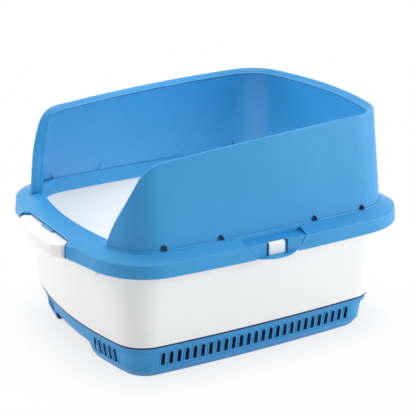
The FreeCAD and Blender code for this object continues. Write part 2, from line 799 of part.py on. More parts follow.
def end_cap(loop):
    """Triangles that close the hood's shell at an end, between its outer and inner side."""
    outer = loop[:len(lip_top) + 1]
    inner = loop[len(lip_top) + 1:][::-1]
    inner = inner + [inner[-1]] * (len(outer) - len(inner))
    faces = []
    for number in range(len(outer) - 1):
        corners = (outer[number], outer[number + 1], inner[number + 1], inner[number])
        for triangle in (corners[:3], (corners[0], corners[2], corners[3])):
            if (triangle[1] - triangle[0]).cross(triangle[2] - triangle[0]).Length > 0:
                faces.append(Part.Face(Part.makePolygon(list(triangle) + [triangle[0]])))
    return faces


def gable(width, bottom, top, y_start, y_stop):
    """A prism with a pointed head, pushed along Y."""
    shoulder = bottom + (top - bottom) / 2
    return plate([(-width / 2, y_start, bottom), (width / 2, y_start, bottom),
                  (width / 2, y_start, shoulder), (0, y_start, top), (-width / 2, y_start, shoulder)],
                 (0, y_stop - y_start, 0))


def window_shapes():
    """The raised frames round the hood's small windows, and the windows themselves."""
    frames = []
    windows = []
    top = hood_foot_height + window_height
    for share in window_places_shares:
        x = share * window_span
        face = side_distance(x) - foot_inset
        frame = gable(window_width + 2 * window_frame, hood_foot_height, top + window_frame,
                      face - wall / 2, face + window_frame_relief)
        window = gable(window_width, hood_foot_height - window_frame, top, face - overrun, face + overrun)
        for piece, group in ((frame, frames), (window, windows)):
            piece.translate(Vector(x, 0, 0))
            group += [piece, mirrored(piece, (0, 1, 0))]
    return frames, windows


def make_hood():
    """The hood: one shell through all sections, cut off flat at its foot, with its windows."""
    near = [section(*station) for station in stations()]
    far = [[Vector(point.x, -point.y, point.z) for point in loop] for loop in reversed(near[:-1])]
    loops = near + far
    spacing = [0.0]
    for first, second in zip(loops, loops[1:]):
        spacing.append(spacing[-1] + (second[3] - first[3]).Length)
    rails = [rail([loop[number] for loop in loops], spacing) for number in range(len(loops[0]))]
    faces = []
    for first, second in zip(rails, rails[1:] + rails[:1]):
        faces += Part.makeRuledSurface(first, second).Faces
    faces += end_cap(loops[0]) + end_cap(loops[-1])
    body = solid(faces)
    above = block((-rim_front, -rim_half_width, hood_foot_height),
                  (rim_back, rim_half_width, 2 * hood_crown_height))
    frames, windows = window_shapes()
    return body.common(above).fuse(frames).cut(windows)


# The six pieces

near_flap = make_latch_flap()
pieces = {
    "base": make_base(),
    "tray": make_tray(),
    "rim_frame": make_rim_frame(),
    "hood": make_hood(),
    "right_latch_flap": near_flap,
    "left_latch_flap": mirrored(near_flap, (0, 1, 0)),
}

os.makedirs("parts", exist_ok=True)
for name, shape in pieces.items():
    shape.exportStep("parts/" + name + ".step")
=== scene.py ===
# %% [markdown]
# # A high-sided litter box, dressed for its portrait
# The box is four plastic mouldings: a vented stand, a white tray, a rim frame and a tall hood.
# The CAD model already holds their true shapes and places, so this lesson keeps those and adds
# what a camera sees: softened edges, moulded details, the finish of the plastic, and the light.

# %% Load the frame
import json
import math
import bpy
from mathutils import Matrix, Vector

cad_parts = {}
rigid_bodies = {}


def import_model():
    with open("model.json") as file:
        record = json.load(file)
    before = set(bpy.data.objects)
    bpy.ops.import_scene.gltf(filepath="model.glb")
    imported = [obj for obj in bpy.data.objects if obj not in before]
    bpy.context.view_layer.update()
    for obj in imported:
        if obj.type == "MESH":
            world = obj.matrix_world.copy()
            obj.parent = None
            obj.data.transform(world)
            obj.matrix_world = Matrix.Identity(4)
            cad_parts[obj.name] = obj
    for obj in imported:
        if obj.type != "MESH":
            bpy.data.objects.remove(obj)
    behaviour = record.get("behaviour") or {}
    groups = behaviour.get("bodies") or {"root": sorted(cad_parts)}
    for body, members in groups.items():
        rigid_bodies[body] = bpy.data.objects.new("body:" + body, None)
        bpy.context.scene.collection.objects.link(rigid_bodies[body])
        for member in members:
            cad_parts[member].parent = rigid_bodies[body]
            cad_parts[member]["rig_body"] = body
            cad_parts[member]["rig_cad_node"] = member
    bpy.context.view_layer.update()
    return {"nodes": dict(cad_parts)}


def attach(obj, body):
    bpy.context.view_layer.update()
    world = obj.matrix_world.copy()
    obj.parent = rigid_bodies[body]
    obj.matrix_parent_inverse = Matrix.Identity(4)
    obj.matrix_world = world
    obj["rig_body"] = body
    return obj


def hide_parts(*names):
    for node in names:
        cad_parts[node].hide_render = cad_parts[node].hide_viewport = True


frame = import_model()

MM = 0.001                  # sizes and heights are in mm below, where nothing else is said
nodes = frame["nodes"]

# %% [markdown]
# ## The camera
# The photograph looks down a little on the entrance end and the right side of the box, from about
# two metres away. The camera's place and lens were found by matching corners of the CAD model
# with the same corners in the picture, so the two can be compared point by point.

# %% Camera
CAMERA_PLACE = (-0.97780, -1.70628, 0.87084)        # in metres
CAMERA_TURN = (70.7598, 0.2360, -30.2524)           # in degrees
bpy.ops.object.camera_add(location=CAMERA_PLACE, rotation=[math.radians(turn) for turn in CAMERA_TURN])
camera = bpy.context.object
camera.name = "portrait_camera"
camera.data.sensor_width = 36
camera.data.lens = 110.518
bpy.context.scene.camera = camera
bpy.context.scene.view_settings.view_transform = "Standard"
print("camera lens in mm:", round(camera.data.lens, 1))

# %% [markdown]
# ## The skin of a moulding
# Moulded plastic is never one flat colour. The tool leaves a fine grain, the melt leaves faint
# clouds where it flowed, and handling leaves small rubs. Each could be built anew in every
# material, but all mouldings here share them. So they are built once, as a node group that gives
# out plain masks, and each material uses the masks its own way.


# %% A helper for node groups
def new_group(name, inputs, outputs):
    """A shader node group with named sockets, and the nodes at its two ends."""
    group = bpy.data.node_groups.new(name, "ShaderNodeTree")
    for label, kind, value in inputs:
        socket = group.interface.new_socket(name=label, in_out="INPUT", socket_type=kind)
        if value is not None:
            socket.default_value = value
    for label, kind in outputs:
        group.interface.new_socket(name=label, in_out="OUTPUT", socket_type=kind)
    return group, group.nodes.new("NodeGroupInput"), group.nodes.new("NodeGroupOutput")


def ranged(tree, source, low, high, bottom=0.0, top=1.0):
    """A value between two limits, spread over another range."""
    node = tree.nodes.new("ShaderNodeMapRange")
    node.inputs["From Min"].default_value = low
    node.inputs["From Max"].default_value = high
    node.inputs["To Min"].default_value = bottom
    node.inputs["To Max"].default_value = top
    tree.links.new(source, node.inputs["Value"])
    return node.outputs["Result"]


# %% Grain, flow clouds and rubs
skin, skin_in, skin_out = new_group(
    "moulded_skin",
    [("Place", "NodeSocketVector", None), ("Grain Scale", "NodeSocketFloat", 900.0),
     ("Flow Scale", "NodeSocketFloat", 5.0), ("Rub Scale", "NodeSocketFloat", 26.0)],
    [("Grain", "NodeSocketFloat"), ("Flow", "NodeSocketFloat"), ("Rubs", "NodeSocketFloat")])
grain = skin.nodes.new("ShaderNodeTexNoise")
grain.inputs["Detail"].default_value = 2.0
flow = skin.nodes.new("ShaderNodeTexNoise")
flow.inputs["Detail"].default_value = 4.0
flow.inputs["Distortion"].default_value = 0.8
stretch = skin.nodes.new("ShaderNodeVectorMath")
stretch.operation = "MULTIPLY"
stretch.inputs[1].default_value = (1.0, 1.0, 7.0)
rubs = skin.nodes.new("ShaderNodeTexNoise")
rubs.inputs["Detail"].default_value = 5.0
rubs.inputs["Roughness"].default_value = 0.65
for noise, label in ((grain, "Grain Scale"), (flow, "Flow Scale"), (rubs, "Rub Scale")):
    skin.links.new(skin_in.outputs[label], noise.inputs["Scale"])
skin.links.new(skin_in.outputs["Place"], grain.inputs["Vector"])
skin.links.new(skin_in.outputs["Place"], flow.inputs["Vector"])
skin.links.new(skin_in.outputs["Place"], stretch.inputs[0])
skin.links.new(stretch.outputs["Vector"], rubs.inputs["Vector"])
skin.links.new(grain.outputs["Fac"], skin_out.inputs["Grain"])
skin.links.new(ranged(skin, flow.outputs["Fac"], 0.35, 0.65), skin_out.inputs["Flow"])
skin.links.new(ranged(skin, rubs.outputs["Fac"], 0.58, 0.70), skin_out.inputs["Rubs"])
print("skin group gives", [item.name for item in skin.interface.items_tree if item.in_out == "OUTPUT"])

# %% [markdown]
# ## The plastics
# The stand, frame and hood are one sky blue polypropylene and the tray is white. Each material
# mixes its own shades with the masks: a faint cloud over the broad walls, a rougher touch where it
# is rubbed, and the grain as a bump. The thin bright lines along the rounded edges and the shade in
# narrow recesses and gaps are painted into the colour, because the even light of a white room can't
# show them alone. So each plastic has a paler twin for its edges, a painted highlight, and the blue
# also has a deeper one for its recesses, a painted shade, and a dark one for gaps that hardly see the
# light, a painted deep shade.
# Colours are written as a screen shows them and turned into the linear values that light needs.


# %% One maker for all the plastics
def linear(red, green, blue):
    """A colour as a screen shows it, 0 to 255, in the linear values that Blender works with."""
    steps = [value / 255 for value in (red, green, blue)]
    return tuple(s / 12.92 if s <= 0.04045 else ((s + 0.055) / 1.055) ** 2.4 for s in steps) + (1.0,)


def blended(tree, amount, low, high):
    """Two colours mixed by a mask; either may be a plain colour or a socket."""
    node = tree.nodes.new("ShaderNodeMix")
    node.data_type = "RGBA"
    tree.links.new(amount, node.inputs["Factor"])
    for value, socket in ((low, node.inputs[6]), (high, node.inputs[7])):
        if isinstance(value, tuple):
            socket.default_value = value
        else:
            tree.links.new(value, socket)
    return node.outputs[2]


def moulded_plastic(name, colour, cloud, roughness, grain_scale=900.0):
    """A matt moulded plastic from two shades of its colour."""
    material = bpy.data.materials.new(name)
    material.use_nodes = True
    tree = material.node_tree
    shader = tree.nodes["Principled BSDF"]
    place = tree.nodes.new("ShaderNodeTexCoord")
    own_skin = tree.nodes.new("ShaderNodeGroup")
    own_skin.node_tree = skin
    own_skin.inputs["Grain Scale"].default_value = grain_scale
    tree.links.new(place.outputs["Object"], own_skin.inputs["Place"])
    clouded = blended(tree, own_skin.outputs["Flow"], colour, cloud)
    tree.links.new(clouded, shader.inputs["Base Color"])
    tree.links.new(ranged(tree, own_skin.outputs["Rubs"], 0, 1, roughness, roughness + 0.12),
                   shader.inputs["Roughness"])
    bump = tree.nodes.new("ShaderNodeBump")
    bump.inputs["Strength"].default_value = 0.12
    bump.inputs["Distance"].default_value = 0.0003
    tree.links.new(own_skin.outputs["Grain"], bump.inputs["Height"])
    tree.links.new(bump.outputs["Normal"], shader.inputs["Normal"])
    return material


# %% The finishes
blue = moulded_plastic("sky_blue_plastic", linear(50, 158, 220), linear(45, 152, 215), 0.42)
# the paler twin is a painted highlight for rounded edges
blue_painted_highlight = moulded_plastic("sky_blue_painted_highlight", linear(78, 172, 232), linear(72, 167, 228), 0.34)
# the deeper twin is a painted shade for recesses
blue_painted_shade = moulded_plastic("sky_blue_painted_shade", linear(26, 104, 160), linear(22, 98, 153), 0.55)
# the dark twin is a painted deep shade for gaps that hardly see the light
blue_painted_deep_shade = moulded_plastic("sky_blue_painted_deep_shade", linear(8, 50, 88), linear(6, 44, 80), 0.65)
white = moulded_plastic("white_tray_plastic", linear(253, 253, 252), linear(251, 251, 250), 0.45)
# the white's paler twin is a painted highlight for rounded edges
white_painted_highlight = moulded_plastic("white_tray_painted_highlight", linear(255, 255, 254), linear(253, 253, 252), 0.38)
# each plastic with its painted highlight and painted shade twins
painted_light_twins = {blue: (blue_painted_highlight, blue_painted_shade, blue_painted_deep_shade), white: (white_painted_highlight,)}
# finish 1 is the painted highlight, 2 the painted shade and 3 the painted deep shade
EDGE, PAINTED_SHADE, PAINTED_DEEP_SHADE = 1, 2, 3         # a piece's plain finish is its number 0
print("finishes:", [[twin.name for twin in painted_light_twins[plastic]] for plastic in painted_light_twins])

# %% Give the CAD nodes the same finishes
for name, node in nodes.items():
    node.data.materials.clear()
    node.data.materials.append(white if name == "tray" else blue)
print("CAD nodes given a finish:", len(nodes))

# %% [markdown]
# ## From CAD node to moulding
# A CAD node is a heap of loose triangles with knife-sharp edges. A real moulding has every edge
# broken by a small round, and that round is what draws the thin bright lines along it; here each
# round also gets the paler finish, a painted highlight. The node's mesh must stay as it is, so a copy
# is merged into one skin and its flat patches are dissolved. The bevel operator then rounds only the
# outward edges of one place, as wide as that place asks, because one bevel for the whole piece would
# be held back by its smallest step. A last fine round takes every other edge that has room for it,
# and weighted normals keep the broad walls calm.


# %% Helpers for selecting
def alone(piece):
    """Select one object only and make it the active one."""
    if bpy.context.object and bpy.context.object.mode != "OBJECT":
        bpy.ops.object.mode_set(mode="OBJECT")
    bpy.ops.object.select_all(action="DESELECT")
    piece.select_set(True)
    bpy.context.view_layer.objects.active = piece


def pick(piece, kind, test):
    """Select, in edit mode, only the faces, edges or points that pass a test on the mesh item."""
    alone(piece)
    mesh = piece.data
    for group in (mesh.polygons, mesh.edges, mesh.vertices):
        group.foreach_set("select", [False] * len(group))
    for item in {"FACE": mesh.polygons, "EDGE": mesh.edges, "VERT": mesh.vertices}[kind]:
        item.select = bool(test(item))
    bpy.context.tool_settings.mesh_select_mode = (kind == "VERT", kind == "EDGE", kind == "FACE")
    bpy.ops.object.mode_set(mode="EDIT")
    bpy.ops.mesh.select_mode(type=kind)


def within(value, span):
    """True where a value lies between the two limits of a span."""
    return span[0] < value < span[1]


# %% Helpers for finishes
def give_finishes(piece, material):
    """Hand a piece its plain finish and that finish's copies of painted highlight and shade."""
    piece.data.materials.clear()
    for finish in (material,) + painted_light_twins[material]:
        piece.data.materials.append(finish)


def finish_faces(piece, number, place):
    """Give one of the piece's finishes to the faces whose middle, in mm, and normal fit a place."""
    count = 0
    for face in piece.data.polygons:
        if place(face.center / MM, face.normal):
            face.material_index = number
            count += 1
    print(piece.name, "has", count, "faces in finish", number)


# %% A joined copy of a CAD node
WELD = 0.02                 # points closer than this are one point
FLAT = 0.6                  # neighbouring faces that turn by fewer degrees are one face


def merged_copy(name, material):
    """A copy of a CAD node as one joined skin, ready for modelling."""
    alone(nodes[name])
    bpy.ops.object.duplicate()
    piece = bpy.context.object
    del piece["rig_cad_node"]
    piece.name = name + "_moulding"
    bpy.ops.object.mode_set(mode="EDIT")
    bpy.ops.mesh.select_all(action="SELECT")
    bpy.ops.mesh.remove_doubles(threshold=WELD * MM)
    bpy.ops.mesh.dissolve_limited(angle_limit=math.radians(FLAT))
    bpy.ops.object.mode_set(mode="OBJECT")
    if piece.data.has_custom_normals:
        bpy.ops.mesh.customdata_custom_splitnormals_clear()
    give_finishes(piece, material)
    return piece


# %% Helpers for rounding
def outward_edges(mesh, least):
    """The edges that stick out and turn by at least so many degrees."""
    sides = {}
    for face in mesh.polygons:
        for key in face.edge_keys:
            sides.setdefault(key, []).append(face)
    found = []
    for edge in mesh.edges:
        near = sides.get(edge.key, [])
        if len(near) == 2 and near[0].normal.angle(near[1].normal, 0) > math.radians(least):
            if (near[1].center - near[0].center).dot(near[0].normal) < 0:
                found.append(edge)
    return found


def round_edges(piece, width, place, segments=3, least=30):
    """Round the outward edges whose two ends both lie in a place, given in mm; the rounds get the
    painted highlight finish.
    """
    points = piece.data.vertices
    picked = {edge.index for edge in outward_edges(piece.data, least)
              if all(place(points[end].co / MM) for end in edge.vertices)}
    pick(piece, "EDGE", lambda edge: edge.index in picked)
    if picked:
        bpy.ops.mesh.bevel(offset=width * MM, segments=segments, affect="EDGES", clamp_overlap=False,
                           material=EDGE)
    bpy.ops.object.mode_set(mode="OBJECT")
    print(piece.name, "rounded", len(picked), "edges by", width, "mm")


# %% The fine round
ROOM = 2.6                  # an edge end has room for a round if nothing near is under 2.6 widths
CALM = 34                   # faces that turn by fewer degrees are shaded as one smooth wall


def fine_round(piece, width):
    """Round all other outward edges a little where there is room, then calm the shading."""
    mesh = piece.data
    room = {}
    for edge in mesh.edges:
        ends = [mesh.vertices[end].co for end in edge.vertices]
        for end in edge.vertices:
            room[end] = min(room.get(end, 1.0), (ends[0] - ends[1]).length)
    roomy = {tuple(mesh.vertices[end].co / MM) for end, length in room.items()
             if length > ROOM * (width * MM)}
    round_edges(piece, width, lambda end: tuple(end) in roomy, segments=2, least=35)
    bpy.ops.object.shade_smooth_by_angle(angle=math.radians(CALM))
    calm = piece.modifiers.new("calm_walls", "WEIGHTED_NORMAL")
    calm.keep_sharp = True
    bpy.ops.object.modifier_apply(modifier=calm.name)


# %% Helpers for joining and handing over
def join_all(pieces, name):
    """One piece made of several, under a new name."""
    alone(pieces[0])
    for piece in pieces:
        piece.select_set(True)
    bpy.ops.object.join()
    bpy.context.object.name = name
    return bpy.context.object


def finish_piece(piece, body, slot, *replaced):
    """Give a piece its body and hide the CAD nodes that it stands for; the paint slot is not used."""
    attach(piece, body)
    if replaced:
        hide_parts(*replaced)
    print(piece.name, "has", len(piece.data.polygons), "faces")


# %% [markdown]
# ## The stand
# The stand is a low wall with slots all round that lets air under the tray. Its foot band and its
# flange are crisp steps. They could be painted as lines, but the corners show their outline, so
# the true edges are rounded, and only a little. The finishes then go on by height and direction:
# the inside, the slots and the undersides get painted shade, the foot band's upper edge a painted
# highlight, and a dark line of painted shade is left where the flange meets the tray. One bisect
# cut gives that line its lower edge.

# %% Stand
STAND_HALF_LENGTH, STAND_HALF_WIDTH = 246, 194
FOOT_BAND = (5, 12)         # spans of height, from the floor
FOOT_BAND_TOP = (9.2, 10.8)
SLOTS = (14, 41)
BAND_UNDERSIDE = (40, 44)
FLANGE_UNDERSIDE = (48.6, 50.6)
FLANGE_SIDE = (50.6, 53.9)
JOINT_SHADE = (52.6, 55.5)
FLANGE_FROM = 49
stand = merged_copy("base", blue)
pick(stand, "FACE", lambda face: within(face.center.z / MM, FLANGE_SIDE))
bpy.ops.mesh.bisect(plane_co=(0, 0, JOINT_SHADE[0] * MM), plane_no=(0, 0, 1))
bpy.ops.object.mode_set(mode="OBJECT")
round_edges(stand, 0.7, lambda end: end.z > FLANGE_FROM or within(end.z, FOOT_BAND))
fine_round(stand, 0.3)


# %% The stand's finishes
def in_slot(at, way):
    """True for the walls inside the air slots, which look along the stand's wall."""
    on_long_side = abs(at.y) / STAND_HALF_WIDTH > abs(at.x) / STAND_HALF_LENGTH
    return within(at.z, SLOTS) and abs(way.y if on_long_side else way.x) < 0.5


def looks_in(at, way):
    """True for faces that look towards the middle of the stand."""
    return at.x * way.x / STAND_HALF_LENGTH + at.y * way.y / STAND_HALF_WIDTH < -0.2


# painted shade in the slots, on the walls that look inwards and on the undersides
finish_faces(stand, PAINTED_SHADE, in_slot)
finish_faces(stand, PAINTED_SHADE, looks_in)
finish_faces(stand, PAINTED_SHADE, lambda at, way: way.z < -0.25 and
             (within(at.z, BAND_UNDERSIDE) or within(at.z, FLANGE_UNDERSIDE)))
# painted highlight on the foot band's upper edge
finish_faces(stand, EDGE, lambda at, way: within(at.z, FOOT_BAND_TOP) and way.z > 0.15)
# painted deep shade on the line where the flange meets the tray
finish_faces(stand, PAINTED_DEEP_SHADE, lambda at, way: within(at.z, JOINT_SHADE))
finish_piece(stand, "base", "blue_plastic", "base")

# %% [markdown]
# ## Borders of the air slots
# Each slot has a thin raised border with an arched head, which stiffens the wall around the hole
# and catches the light. The whole border is given the paler finish, a painted highlight. It could
# be cut into the wall with a boolean at every slot, but one small model and its copies are lighter
# and all alike. The model is a flat plate with bevelled upper corners, inset to a frame and pushed
# out to a little thickness. The stand's wall leans and bows, so rays shot at the wall beside each
# slot tell how a copy must turn to lie flat on it.

# %% One border
BORDER_WIDTH = 9.8
BORDER_STRIP = 1.4          # width of the strip that runs round the slot
BORDER_DEPTH = 1.3
BORDER_SUNK = 0.35          # how deep it sits in the wall
BORDER_HEAD = 0.45          # round of the head, as a share of the width


def slot_border(width, height):
    """A raised frame in the XZ plane that looks along -Y, with its foot at the origin."""
    bpy.ops.object.select_all(action="DESELECT")
    bpy.ops.mesh.primitive_plane_add(size=1, location=(0, 0, height * MM / 2),
                                     rotation=(math.pi / 2, 0, 0))
    border = bpy.context.object
    bpy.ops.transform.resize(value=(width * MM, 1, height * MM))
    bpy.ops.object.transform_apply(location=True, rotation=True, scale=True)
    give_finishes(border, blue)
    pick(border, "VERT", lambda point: point.co.z > height * MM * 0.9)
    bpy.ops.mesh.bevel(offset=BORDER_HEAD * width * MM, segments=3, affect="VERTICES", profile=0.4)
    bpy.ops.mesh.select_all(action="SELECT")
    bpy.ops.mesh.inset(thickness=BORDER_STRIP * MM)
    bpy.ops.mesh.delete(type="FACE")
    bpy.ops.mesh.select_all(action="SELECT")
    bpy.ops.mesh.extrude_region_move(TRANSFORM_OT_translate={"value": (0, -BORDER_DEPTH * MM, 0)})
    bpy.ops.mesh.select_all(action="SELECT")
    bpy.ops.mesh.normals_make_consistent(inside=False)
    bpy.ops.object.mode_set(mode="OBJECT")
    # the whole border is painted with the highlight finish
    finish_faces(border, EDGE, lambda at, way: True)
    return border


# %% A copy laid on the wall
BESIDE = 6                  # how far from a slot's middle the rays meet the wall
RAY_START = 0.1             # how far outside the wall they start, in metres


def lay_on_wall(model, aim, outwards, low, high):
    """A copy of the border at a slot whose foot is at aim, with rays at two heights."""
    sideways = Vector((-outwards.y, outwards.x, 0))
    spots = []
    for shift, height in ((-BESIDE, low), (BESIDE, low), (-BESIDE, high)):
        start = aim * MM + sideways * shift * MM + outwards * RAY_START
        start.z = height * MM
        spots.append(stand.ray_cast(start, -outwards)[1])
    along_wall = (spots[1] - spots[0]).normalized()
    up_wall = (spots[2] - spots[0]).normalized()
    out = along_wall.cross(up_wall).normalized()
    foot = (spots[0] + spots[1]) / 2 + up_wall * (aim.z - low) * MM - out * BORDER_SUNK * MM
    alone(model)
    bpy.ops.object.duplicate()
    border = bpy.context.object
    border.matrix_world = Matrix((along_wall, -out, up_wall)).transposed().to_4x4()
    border.location = foot
    bpy.ops.object.transform_apply(location=True, rotation=True, scale=True)
    return border


# %% Borders all round
SIDE_SLOTS, SIDE_PITCH, SIDE_FOOT, SIDE_HEIGHT = 26, 13.4, 16.2, 25.2
SIDE_INSIDE, SIDE_RAYS = 180, (20, 38)      # behind the wall, and the heights of the rays
END_SLOTS, END_PITCH, END_FOOT, END_HEIGHT = 5, 12.8, 13.0, 26.8
END_INSIDE, END_RAYS = 235, (24, 37)
END_FIRST = 72.8            # the end's first slot, from the middle
LEFT_OUT = 2                # slots that the arch takes away on the left half
side_model = slot_border(BORDER_WIDTH, SIDE_HEIGHT)
end_model = slot_border(BORDER_WIDTH, END_HEIGHT)
borders = []
for side in (-1, 1):
    for number in range(SIDE_SLOTS):
        foot = Vector(((number - (SIDE_SLOTS - 1) / 2) * SIDE_PITCH, side * SIDE_INSIDE, SIDE_FOOT))
        borders.append(lay_on_wall(side_model, foot, Vector((0, side, 0)), *SIDE_RAYS))
    for left, first in ((1, LEFT_OUT), (-1, 0)):
        for number in range(first, END_SLOTS):
            foot = Vector((side * END_INSIDE, left * (END_FIRST + number * END_PITCH), END_FOOT))
            borders.append(lay_on_wall(end_model, foot, Vector((side, 0, 0)), *END_RAYS))
for model in (side_model, end_model):
    bpy.data.objects.remove(model)
print(len(borders), "borders laid")
slot_borders = join_all(borders, "slot_borders")
finish_piece(slot_borders, "base", "blue_plastic")

# %% [markdown]
# ## The tray
# The white tray is deep and plain. Only its handles, catches and flange have edges. Beside each
# handle the box draws in by a few millimetres, flange and frame together, so that the handle seems
# to grow out of it. A lattice could bend the ends, but it would pull the handle along. So the ends
# of both pieces are cut into narrow strips with bisect, which gives the mesh points to bend at,
# and the points are then moved inwards along the same two curves: one for the foot of the frame's
# skirt and one for its top. The catches are made a little narrower, as the photograph shows them.

# %% The waist beside each handle
RIM_HALF_LENGTH = 290
END_BOWS = {-1: 400, 1: 570}            # radius of the rim's bowed front (-1) and back (1)
SKIRT_FOOT, SKIRT_HEIGHT = 179, 21.8
WAIST_CUTS = (82, 88, 94, 101, 109, 118, 128, 139, 150, 160)
WAIST = (68, 164)                       # where points move, from the middle of the end
LOW_WAIST = ((70, 7.6), (102, 7.5), (125, 6.0), (150, 0.9), (158, 0.0))
HIGH_WAIST = ((70, 1.5), (88, 2.6), (95, 6.4), (109, 7.6), (133, 5.2), (156, 1.2), (164, 0.0))


def held(value):
    """A value held between 0 and 1."""
    return min(1.0, max(0.0, value))


def along(curve, place):
    """How deep a waist is at a place; its curve is pairs of a place and a depth."""
    for (start, low), (stop, high) in zip(curve, curve[1:]):
        if place <= stop:
            return low + (high - low) * max(0.0, (place - start) / (stop - start))
    return curve[-1][1]


# %% Strips to bend at
CUT_BEYOND, CUT_ABOVE = 150, 176        # where cuts are made: distance from the middle, and height


def strips(piece):
    """Cut both ends of a piece across at every few millimetres beside the handles."""
    for place in WAIST_CUTS:
        for side in (-1, 1):
            pick(piece, "FACE", lambda face: abs(face.center.x) > CUT_BEYOND * MM and
                 face.center.z > CUT_ABOVE * MM)
            bpy.ops.mesh.bisect(plane_co=(0, side * place * MM, 0), plane_no=(0, 1, 0))
            bpy.ops.object.mode_set(mode="OBJECT")


# %% Drawing the ends in
END_BEYOND = 235                        # points move beyond this, from the middle of the box
NOTCH_SIDE, NOTCH_LEAN = 79, 7          # the side of the frame's notch at its foot, and its lean
NOTCH_CORNER = (80, 12)                 # its points lie this near the middle line and the edge


def draw_in(piece, hold, corner=False):
    """Move the points beside the handles inwards; hold gives the share for a point.

    With corner, the outer corners of the frame's notch also lean away from the handle."""
    moved = 0
    for point in piece.data.vertices:
        x, y, z = (value / MM for value in point.co)
        if abs(x) < END_BEYOND or not within(abs(y), WAIST):
            continue
        end = 1 if x > 0 else -1
        bow = END_BOWS[end]
        inset = RIM_HALF_LENGTH - bow + math.sqrt(bow * bow - y * y) - abs(x)
        height = held((z - SKIRT_FOOT) / SKIRT_HEIGHT)
        amount = along(LOW_WAIST, abs(y)) * (1 - height) + along(HIGH_WAIST, abs(y)) * height
        share = hold(inset, abs(y), z)
        point.co.x -= end * amount * share * MM
        if corner and abs(y) < NOTCH_CORNER[0] and inset < NOTCH_CORNER[1]:
            point.co.y = math.copysign(NOTCH_SIDE + NOTCH_LEAN * height, y) * MM
        moved += 1
    print(piece.name, "has", moved, "points beside its handles")


# %% Tray
FLANGE_FOOT, FLANGE_DEPTH, FLANGE_FADE = 189, 16, 8
HANDLE_SIDE, HANDLE_FADE = 77.5, 4
CATCH_SIDE, CATCH_BACK, CATCH_FOOT = 17, 214.6, 180     # half width, back and foot of a catch
CATCH_NARROWED = 0.83


def flange_share(inset, across, z):
    """The flange moves, less and less towards the tray's wall and towards the handle."""
    near_edge = held((FLANGE_DEPTH - inset) / FLANGE_FADE)
    return (z > FLANGE_FOOT) * near_edge * held((across - HANDLE_SIDE) / HANDLE_FADE)


def in_catch(point):
    """True for the points of the two catches."""
    x, y, z = (value / MM for value in point.co)
    return abs(x) < CATCH_SIDE and abs(y) > CATCH_BACK and z > CATCH_FOOT


tray = merged_copy("tray", white)
strips(tray)
draw_in(tray, flange_share)
pick(tray, "VERT", in_catch)
bpy.ops.transform.resize(value=(CATCH_NARROWED, 1, 1))
bpy.ops.object.mode_set(mode="OBJECT")

# %% The tray's edges
HANDLE_END = 279            # the handles' outer edges lie beyond this, from the middle
HANDLE_TOP, GRIP_FOOT = 199, 182
NEST_STEP = (55, 57)
round_edges(tray, 3.0, lambda end: end.z > HANDLE_TOP and abs(end.x) > HANDLE_END)
round_edges(tray, 1.2, lambda end: end.z < GRIP_FOOT and abs(end.x) > HANDLE_END)
round_edges(tray, 1.0, lambda end: within(end.z, NEST_STEP))
fine_round(tray, 0.4)
finish_piece(tray, "tray", "white_plastic", "tray")

# %% [markdown]
# ## The rim frame
# The frame covers the tray's edge all round and carries the hood. Its outer edge is its softest
# one, with the widest round, but that round has to stop at the handles' notches and at the latch
# pockets, where the edge is interrupted. A modifier would round all of it alike, so the operator is
# used on the stretches between. The walls of the notches and pockets get painted shade, and the
# frame at the foot of each hood window a painted deep shade.

# %% Frame
SKIRT_TOP, SKIRT_DEPTH = 200.9, 9
SLOPE_DEPTH, SLOPE_FADE = 20, 16
OUTER_EDGE = (200.5, 201.2)
BESIDE_NOTCH = 85           # the edge of the ends runs beyond this
BESIDE_POCKET = (54, 240)   # and that of the long sides between these
SLOPE_FOOT = 201.5
NOTCH = 88                  # half the notch's width, with its rounded corners
NOTCH_WALL = (262, 271)     # the notch's inner wall, from the middle of the box


def skirt_share(inset, across, z):
    """The skirt moves as a whole, and the top less and less towards the hood."""
    if z < SKIRT_TOP and inset < SKIRT_DEPTH:
        return 1.0
    return held((SLOPE_DEPTH - inset) / SLOPE_FADE)


rim = merged_copy("rim_frame", blue)
strips(rim)
draw_in(rim, skirt_share, corner=True)
round_edges(rim, 1.8, lambda end: within(end.z, OUTER_EDGE) and abs(end.y) > BESIDE_NOTCH)
round_edges(rim, 1.8, lambda end: within(end.z, OUTER_EDGE) and within(abs(end.x), BESIDE_POCKET))
round_edges(rim, 1.6, lambda end: end.z > SLOPE_FOOT and abs(end.y) < NOTCH and
            abs(end.x) > NOTCH_WALL[0])
fine_round(rim, 0.4)

# %% The frame's finishes
WINDOWS = (82.8, 175.3)     # the hood's windows, from the middle of each long side
WINDOW_SIDE = 190           # they lie beyond this, from the middle line
WINDOW_FOOT = (209.8, 211.4)            # heights of what shows of the frame at a window's foot
FOOT_REACH = 5.7
NOTCH_FOOT = 199
POCKET = 56                 # half the latch pocket's width
POCKET_DEPTH = (205, 228)
POCKET_FLOOR = 201.6


def by_window(at, reach):
    """True on a long side, within reach of the middle line of a window."""
    return abs(at.y) > WINDOW_SIDE and min(abs(abs(at.x) - place) for place in WINDOWS) < reach


def in_notch(at, way):
    """True for the upright walls of the handles' notches."""
    upright = at.z > NOTCH_FOOT and abs(way.z) < 0.4
    return upright and abs(at.y) < NOTCH and within(abs(at.x), NOTCH_WALL)


def in_pocket(at, way):
    """True for the side walls of the latch pockets."""
    sideways = at.z > POCKET_FLOOR and abs(way.x) > 0.5
    return sideways and abs(at.x) < POCKET and within(abs(at.y), POCKET_DEPTH)


# painted shade on the upright walls of the notches and the pockets' side walls
finish_faces(rim, PAINTED_SHADE, in_notch)
finish_faces(rim, PAINTED_SHADE, in_pocket)
